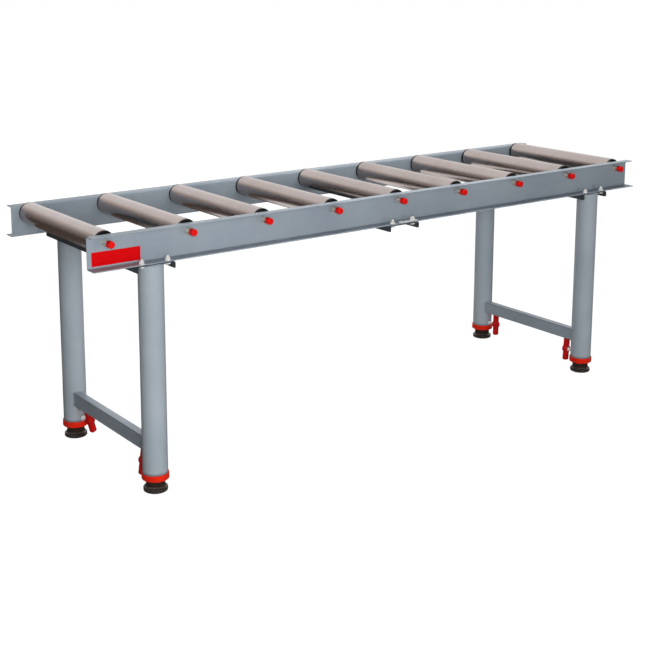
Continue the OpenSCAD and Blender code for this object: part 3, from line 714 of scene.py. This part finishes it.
def rollers():
    """Tubes with rolled edges, and in each end a bearing housing with a ring of ribs in its face."""
    edge_r, wall_r = 1.9, 28
    lines = [3 - TUBE_END, -150, -75, 0, 75, 150, TUBE_END - 3]
    edge = bend(ROLLER_R - edge_r, TUBE_END - edge_r, edge_r, math.pi / 14, QUARTER, 7, .8)
    shell = [(ROLLER_R, y) for y in (edge_r - TUBE_END, *lines, TUBE_END - edge_r)] + edge
    shell += [(wall_r, TUBE_END - .1), (wall_r, .1 - TUBE_END)] + [(r, -y, w) for r, y, w in reversed(edge)]
    face = [(10, 203.2), (28, 203.2), (28, 218.8), (28.9, 219.05), (29.25, 219.5), (29.25, 224.9, .6),
            (28.65, 225.5, .6), (25.2, 225.5), (24.6, 225.1), (23.9, 223.8), (19.4, 223.8), (18.8, 224.9),
            (18.3, 225.5, .6), (16.7, 225.5, .6), (16.05, 224.9), (16.05, 209.7), (10, 209.7)]
    rib = [(19.2, 223.2), (24.4, 223.2), (24.4, 225.2), (19.2, 225.2)]
    ribs = [[[(p * math.cos(a) - t * math.sin(a), p * math.sin(a) + t * math.cos(a), z) for p, z in rib]
             for t in (-.7, .7)] for a in (k * math.pi / 6 + .2 for k in range(12))]
    for k, x in enumerate(ROLLER_X, 1):
        tube = Shape().lathe(shell, 160, Matrix.Translation((x, 0, AXLE_Z)) @ SCREW_Y)
        tube.piece(f"roller_{k}_shell", f"roller_{k}", [f"roller_tube_{k}"], "roller_steel", ROLLER)
        ends = Shape()
        for side in (-1, 1):
            at = along_y(x, 0, AXLE_Z, side)
            ends.lathe(face, 112, at)
            for box in ribs:
                ends.skin(box, at=at)
        ends.piece(f"roller_{k}_end_housings", f"roller_{k}", [f"roller_ends_{k}"], "black_plastic", BLACK)


rollers()


# ---- collars, feet and clamps ----

def collars():
    """Collars pushed over the legs' lower ends, with a groove round them, and guide bushes inside the legs."""
    rings, guides = Shape(), Shape()
    profile = ([(25.8, 33.5), (34.5, 33.5)] + bend(34.5, 35.5, 2, .2 - QUARTER, 0, 6, .5)
               + [(36.5, 41.9), (36.36, 42.05), (36.36, 42.35), (36.5, 42.5)]
               + bend(34.9, 48.9, 1.6, 0, QUARTER, 6, .5)
               + [(34.2, 50.5, .4), (33.75, 50.1), (33.65, 44), (30.4, 44), (30.4, 50.3), (26.4, 50.3), (25.8, 49.7)])
    bush = round_profile([(25.8, 130, .8), (30.45, 130, .5), (30.45, 155, .5), (25.8, 155, .8)])
    for name in LEGS:
        rings.lathe(profile, 112, leg_frame(name))
        guides.lathe(bush, 64, leg_frame(name))
    rings.piece("leg_collars", "frame", ["collars"], "orange_red_plastic", COLLAR)
    guides.piece("guide_bushes", "frame", ["leg_guides"], "black_plastic", BLACK)


def feet():
    """Inner tubes, and round feet plugged into them, with a groove round the base and a neck up to the tube."""
    tube = ([(TUBE_R, z) for z in (FOOT_TOP + .4, FOOT_TOP + 1.5, 30, 80, 200, 350, TUBE_TOP - 2, TUBE_TOP - .8)]
            + [(TUBE_R - .4, TUBE_TOP - .1, 1), (TUBE_BORE, TUBE_TOP), (TUBE_BORE, FOOT_TOP), (TUBE_R - .4, FOOT_TOP)])
    foot = ([(0.01, .5), (20, .5), (22, 0), (29.6, 0)] + bend(29.6, 2.9, 2.9, .15 - QUARTER, 0, 7, .4)
            + [(32.5, 4.3), (31.7, 5.0), (31.5, 5.6), (31.7, 6.2), (32.5, 6.9)]
            + bend(30.1, 9.1, 2.4, 0, QUARTER, 7, .4)
            + [(28.6, 11.9), (27.3, 13.0), (26.4, 14.4), (25.9, FOOT_TOP - .05), (25, FOOT_TOP),
               (TUBE_BORE - .1, FOOT_TOP), (TUBE_BORE - .1, 45), (22, 46), (0.01, 46)])
    for name in LEGS:
        body, at = f"foot_{name}", leg_frame(name)
        inner = Shape().lathe(tube, 96, at)
        inner.piece(f"{name}_inner_tube", body, [f"inner_tube_{name}"], "black_brown_enamel", TUBE)
        base = Shape().lathe(foot, 96, at, loop=False)
        base.piece(f"{name}_foot", body, [f"foot_{name}"], "black_plastic", FOOT)


def handle_mesh():
    """T-handle as one moulded form: a flat bar through a round hub, the screw along +Y and the bar along Z."""
    s = Shape()
    w, h, r, depth = 9, 39, 4.2, 15
    rings, _ = bar_rings([(-w, -h, r), (w, -h, r), (w, h, r), (-w, h, r)], depth, 3.2, 5, 6)
    s.skin(rings, at=Matrix(((0, 1, 0, 0), (1, 0, 0, HUB_S + (HUB_L - depth) / 2), (0, 0, 1, 0), (0, 0, 0, 1))))
    hub = round_profile([(0.01, 0, .005), (HUB_R, 0, 1.4), (HUB_R, HUB_L, 2.6), (0.01, HUB_L, .005)], 6)
    s.lathe([(r, h) for r, h, _ in hub], 64, SCREW_Y @ raised(HUB_S))
    mesh = bpy.data.meshes.new("handle_form")
    mesh.from_pydata(s.verts, [], s.faces)
    clean(mesh, 1e-3)
    o = placed("handle_form", mesh)
    m = o.modifiers.new("one", "REMESH")
    m.mode, m.voxel_size = "VOXEL", 0.62
    m = o.modifiers.new("soft", "SMOOTH")
    m.factor, m.iterations = 0.5, 6
    dg = bpy.context.evaluated_depsgraph_get()
    e = o.evaluated_get(dg).to_mesh()
    verts = np.array([v.co for v in e.vertices])
    faces = [tuple(p.vertices) for p in e.polygons]
    bpy.data.objects.remove(o)
    return verts, faces


def clamps():
    """Threaded bosses on the legs, studs in them, and T-handles on the studs with a plated ring at the hub."""
    verts, faces = handle_mesh()
    bosses = Shape()
    boss = round_profile([(5.1, BOSS_S, .3), (BOSS_R, BOSS_S, .3), (BOSS_R, BOSS_END, .5), (5.1, BOSS_END, .6)])
    ring = [(5.1, -.05), (7.2, -.05), (7.2, .6), (5.1, .6)]
    for name in LEGS:
        along = clamp_frame(name) @ SCREW_Y
        bosses.lathe(boss, 48, along)
        stud = Shape().skin(thread_rings(5.0, 1.5, STUD_L), at=along @ raised(STUD_S))
        stud.piece(f"{name}_clamp_stud", f"clamp_screw_{name}", [f"clamp_screw_{name}"], "zinc", ZINC)
        turned = clamp_frame(name, True)
        m = np.array(turned)
        handle = Shape()
        handle.verts = (verts @ m[:3, :3].T + m[:3, 3]).tolist()
        handle.faces, handle.wear, handle.mats = list(faces), [0.0] * len(verts), [0] * len(faces)
        handle.lathe(ring, 40, turned @ SCREW_Y @ raised(HUB_S), mat=1)
        body = f"clamp_handle_{name}"
        handle.piece(f"{name}_t_handle", body, [f"clamp_handle_{name}"], "red_plastic", HANDLE, ZINC, sharp=60)
    bosses.piece("threaded_bosses", "frame", ["clamp_bosses"], "zinc", ZINC)


collars()
feet()
clamps()


# ---- camera, floor and light ----

def camera():
    """The photograph's viewpoint. Its shift is part of the photograph's, so that other views stay in the frame."""
    data = bpy.data.cameras.new("camera")
    data.sensor_width, data.lens = 36, 69.49
    data.shift_x, data.shift_y = 0.03, -0.20
    data.clip_start, data.clip_end = 0.05, 100
    o = placed("camera", data)
    o.location = (-2.3167, -2.9427, 1.3724)
    o.rotation_euler = (math.radians(90 - 10.752), 0, math.radians(-36.017))
    bpy.context.scene.camera = o


def seen(tree):
    """1 for rays from the camera and for mirror and glass rays."""
    path = tree.nodes.new("ShaderNodeLightPath")
    last = path.outputs["Is Camera Ray"]
    for name in ("Is Glossy Ray", "Is Transmission Ray"):
        top = tree.nodes.new("ShaderNodeMath")
        top.operation = "MAXIMUM"
        tree.links.new(last, top.inputs[0])
        tree.links.new(path.outputs[name], top.inputs[1])
        last = top.outputs[0]
    return last


def blank_tree(owner):
    """The emptied node tree of a material or world, and a way to add to it."""
    owner.use_nodes = True
    owner.node_tree.nodes.clear()
    return owner.node_tree, owner.node_tree.nodes.new


def stage_sheet(name, x, y, z, material):
    """A four-cornered sheet of the stage: flat, or upright from one corner of x and y to the other."""
    (x0, x1), (y0, y1), (z0, z1) = x, y, z
    if z0 == z1:
        corners = [(x0, y0, z0), (x1, y0, z0), (x1, y1, z0), (x0, y1, z0)]
    else:
        corners = [(x0, y0, z0), (x1, y1, z0), (x1, y1, z1), (x0, y0, z1)]
    mesh = bpy.data.meshes.new(name)
    mesh.from_pydata(corners, [], [(0, 1, 2, 3)])
    mesh.materials.append(material)
    o = placed(name, mesh)
    if z0 == z1:
        keep_under_feet(o)
    return o


def keep_under_feet(o):
    """The floor, and what lies on it, goes down with the lowest foot when the feet slide out."""
    for name in LEGS:
        under = o.constraints.new("FLOOR")
        under.target = bpy.data.objects[f"{name}_foot"].parent
        under.floor_location = "FLOOR_NEGATIVE_Z"


def floor():
    """A plain pale floor: white to the eye, with the object's faint shadow kept."""
    m = bpy.data.materials.new("floor")
    t, new = blank_tree(m)
    diffuse = new("ShaderNodeBsdfDiffuse")
    diffuse.inputs["Color"].default_value = (0.34, 0.34, 0.34, 1)
    white = new("ShaderNodeEmission")
    white.inputs["Strength"].default_value = 1.16
    # how much of the plain white the eye sees in place of the lit floor
    share = new("ShaderNodeMath")
    share.operation = "MULTIPLY"
    share.inputs[1].default_value = 0.86
    mix = new("ShaderNodeMixShader")
    out = new("ShaderNodeOutputMaterial")
    t.links.new(seen(t), share.inputs[0])
    t.links.new(share.outputs[0], mix.inputs[0])
    t.links.new(diffuse.outputs[0], mix.inputs[1])
    t.links.new(white.outputs[0], mix.inputs[2])
    t.links.new(mix.outputs[0], out.inputs[0])
    stage_sheet("floor", (-30, 30), (-30, 30), (0, 0), m)


def cards():
    """Sheets that only gloss shows, set as a studio sets its cards: dark ones above the floor and graded upright ones.
    Each glows with its own shades, so metal shows painted reflections.
    """
    for i, (shades, x, y, z) in enumerate(CARDS):
        m = bpy.data.materials.new(f"card_{i}")
        t, new = blank_tree(m)
        where = new("ShaderNodeTexCoord")
        height = new("ShaderNodeSeparateXYZ")
        share = new("ShaderNodeMapRange")
        ramp = new("ShaderNodeValToRGB")
        face = new("ShaderNodeEmission")
        out = new("ShaderNodeOutputMaterial")
        share.inputs["From Min"].default_value, share.inputs["From Max"].default_value = z[0], max(z[1], z[0] + 1)
        for k, (at, shade) in enumerate(shades):
            stop = ramp.color_ramp.elements[k] if k < 2 else ramp.color_ramp.elements.new(at)
            stop.position, stop.color = at, (*shade, 1)
        t.links.new(where.outputs["Object"], height.inputs[0])
        t.links.new(height.outputs["Z"], share.inputs["Value"])
        t.links.new(share.outputs[0], ramp.inputs[0])
        t.links.new(ramp.outputs[0], face.inputs["Color"])
        t.links.new(face.outputs[0], out.inputs[0])
        o = stage_sheet(f"card_{i}", x, y, z, m)
        o.visible_camera = o.visible_diffuse = o.visible_shadow = o.visible_transmission = False


# Shades with which each card glows from its foot to its top, painted reflections that only gloss shows, and its corners
# in X, Y and Z, in metres
DARK = [(0.0, (0.088, 0.067, 0.057)), (1.0, (0.088, 0.067, 0.057))]
GRADED = [(0.0, (0.12, 0.10, 0.09)), (1.0, (0.37, 0.33, 0.32)), (0.45, (0.32, 0.29, 0.275)),
          (0.80, (0.62, 0.565, 0.545)), (0.88, (0.90, 0.85, 0.82)), (0.94, (0.77, 0.72, 0.70))]
CARDS = [(DARK, (-3.4, 3.4), (-0.72, 0.72), (0.002, 0.002)),
         (DARK, (-7.0, 7.0), (0.98, 7.0), (0.002, 0.002)),
         (DARK, (-7.0, 7.0), (-7.0, -0.98), (0.002, 0.002)),
         (GRADED, (-7.0, -1.6), (1.6, 6.0), (0.0, 3.2)),
         (GRADED, (7.0, 1.6), (-1.6, -6.0), (0.0, 3.2))]
# Each lamp's place, the point it looks at, its width and height, and its power
LAMPS = {"key": ((-1.75, -2.5, 1.12), (-0.3, 0, 0.40), (1.2, 0.9), 58),
         "front": ((0.9, -3.2, 0.5), (0.2, 0, 0.15), (1.0, 0.8), 25),
         "over": ((0.3, -0.20, 1.6), (0.3, 0.23, 0.66), (2.0, 0.12), 13),
         "back": ((1.6, 3.5, 1.3), (0, 0, 0.4), (2.6, 1.6), 165),
         "top": ((0, 0.7, 3.2), (0, 0, 0.5), (3.2, 1.4), 6)}


def world():
    """White surroundings to the eye and to gloss, and a faint even fill to everything else."""
    w = bpy.data.worlds.new("studio")
    bpy.context.scene.world = w
    t, new = blank_tree(w)
    back, fill = new("ShaderNodeBackground"), new("ShaderNodeBackground")
    back.inputs["Color"].default_value = (1, 1, 1, 1)
    back.inputs["Strength"].default_value = 1.0
    fill.inputs["Color"].default_value = (0.97, 0.98, 1.0, 1)
    fill.inputs["Strength"].default_value = 0.06
    mix = new("ShaderNodeMixShader")
    out = new("ShaderNodeOutputWorld")
    t.links.new(seen(t), mix.inputs[0])
    t.links.new(fill.outputs[0], mix.inputs[1])
    t.links.new(back.outputs[0], mix.inputs[2])
    t.links.new(mix.outputs[0], out.inputs[0])


def lamp(name, place, aim, size, power):
    """A soft lamp. Gloss shows the white surroundings and the cards, and not the lamps."""
    data = bpy.data.lights.new(name, "AREA")
    data.shape, data.size, data.size_y = "RECTANGLE", size[0], size[1]
    data.energy = power
    o = placed(name, data)
    o.location = place
    o.rotation_mode = "QUATERNION"
    o.rotation_quaternion = (Vector(aim) - Vector(place)).to_track_quat("-Z", "Y")
    o.visible_glossy = o.visible_camera = False


camera()
floor()
cards()
world()
for name, values in LAMPS.items():
    lamp(name, *values)
bpy.context.scene.view_settings.view_transform = "Standard"
